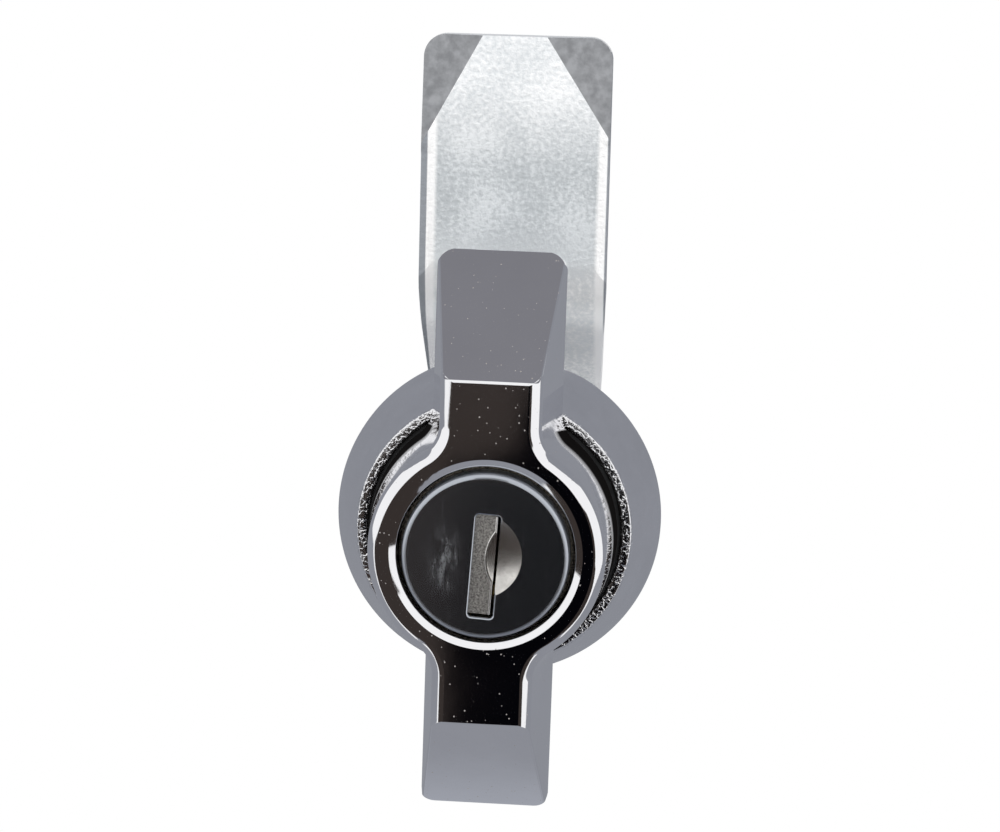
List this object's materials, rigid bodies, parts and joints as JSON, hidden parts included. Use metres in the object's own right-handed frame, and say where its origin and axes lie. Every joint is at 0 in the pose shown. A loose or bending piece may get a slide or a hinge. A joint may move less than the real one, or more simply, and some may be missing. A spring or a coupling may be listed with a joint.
{
  "type": "keyed wing handle cam latch",
  "caption": "Round chromed wing handle with a shuttered lock cylinder on a conical base; turns a cranked cam behind the panel when unlocked.",
  "frame": {"origin": "on the lock axis in the plane of the panel's front face, where the base's back seats", "axes": "+Y along the lock axis into the panel, +Z along the cam towards its tip, +X to the right seen from the front"},
  "size_m": [0.034, 0.0485, 0.0789],
  "materials": {
    "chromed_zinc": "polished chrome plate on die-cast zinc",
    "zinc_plated_steel": "bright zinc plate with faint spangle",
    "polished_stainless": "polished with fine scratches",
    "die_cast_zinc": "grainy as cast",
    "spring_steel": "oiled",
    "brass": "stamped",
    "black_rubber": "matt",
    "nylon": "natural"
  },
  "bodies": {
    "housing": {"mounting_body": "chromed_zinc", "panel_gasket": "black_rubber", "tooth_washer": "zinc_plated_steel", "mounting_nut": "zinc_plated_steel", "handle_seal": "black_rubber"},
    "handle": {"wing_handle": "chromed_zinc", "thrust_washer": "nylon", "shaft_ring": "black_rubber", "stop_washer": "zinc_plated_steel", "cam": "zinc_plated_steel", "flat_washer": "zinc_plated_steel", "spring_washer": "zinc_plated_steel", "cam_screw": "zinc_plated_steel", "cylinder_barrel": "die_cast_zinc", "cylinder_pin": "spring_steel"},
    "plug": {"plug": "die_cast_zinc", "plug_cap": "polished_stainless", "plug_clip": "spring_steel", "bolt_driver": "zinc_plated_steel", "shutter_pin": "spring_steel", "shutter_spring": "spring_steel", "wafer_springs": "spring_steel"},
    "shutter": {"slot_shutter": "die_cast_zinc"},
    "wafers_up": {"wafers_up": "brass"},
    "wafers_down": {"wafers_down": "brass"},
    "bolt": {"locking_bolt": "zinc_plated_steel", "follower_pin": "spring_steel"}
  },
  "joints": [
    {"name": "handle_turn", "type": "hinge", "parent": "housing", "child": "handle", "pos_m": [0, 0, 0], "axis": [0, 1, 0], "range_deg": [0, 90]},
    {"name": "key_turn", "type": "hinge", "parent": "handle", "child": "plug", "pos_m": [0, 0, 0], "axis": [0, 1, 0], "range_deg": [0, 90]},
    {"name": "bolt_slide", "type": "slide", "parent": "handle", "child": "bolt", "axis": [0, 0, -1], "range_m": [0, 0.0015]},
    {"name": "shutter_swing", "type": "hinge", "parent": "plug", "child": "shutter", "pos_m": [-0.0019, -0.01935, 0.0001], "axis": [0.0523, 0, 0.9986], "range_deg": [0, 80], "stiffness_Nm_per_rad": 0.0004, "springref_deg": -20.05},
    {"name": "wafer_lift", "type": "slide", "parent": "plug", "child": "wafers_up", "axis": [0.0523, 0, 0.9986], "range_m": [0, 0.0009]},
    {"name": "wafer_drop", "type": "slide", "parent": "plug", "child": "wafers_down", "axis": [-0.0523, 0, -0.9986], "range_m": [0, 0.0009]}
  ],
  "couplings": [
    {"joint": "bolt_slide", "follows": "key_turn", "m_per_rad": 0.00095493},
    {"joint": "wafer_drop", "follows": "wafer_lift", "ratio": 1}
  ]
}
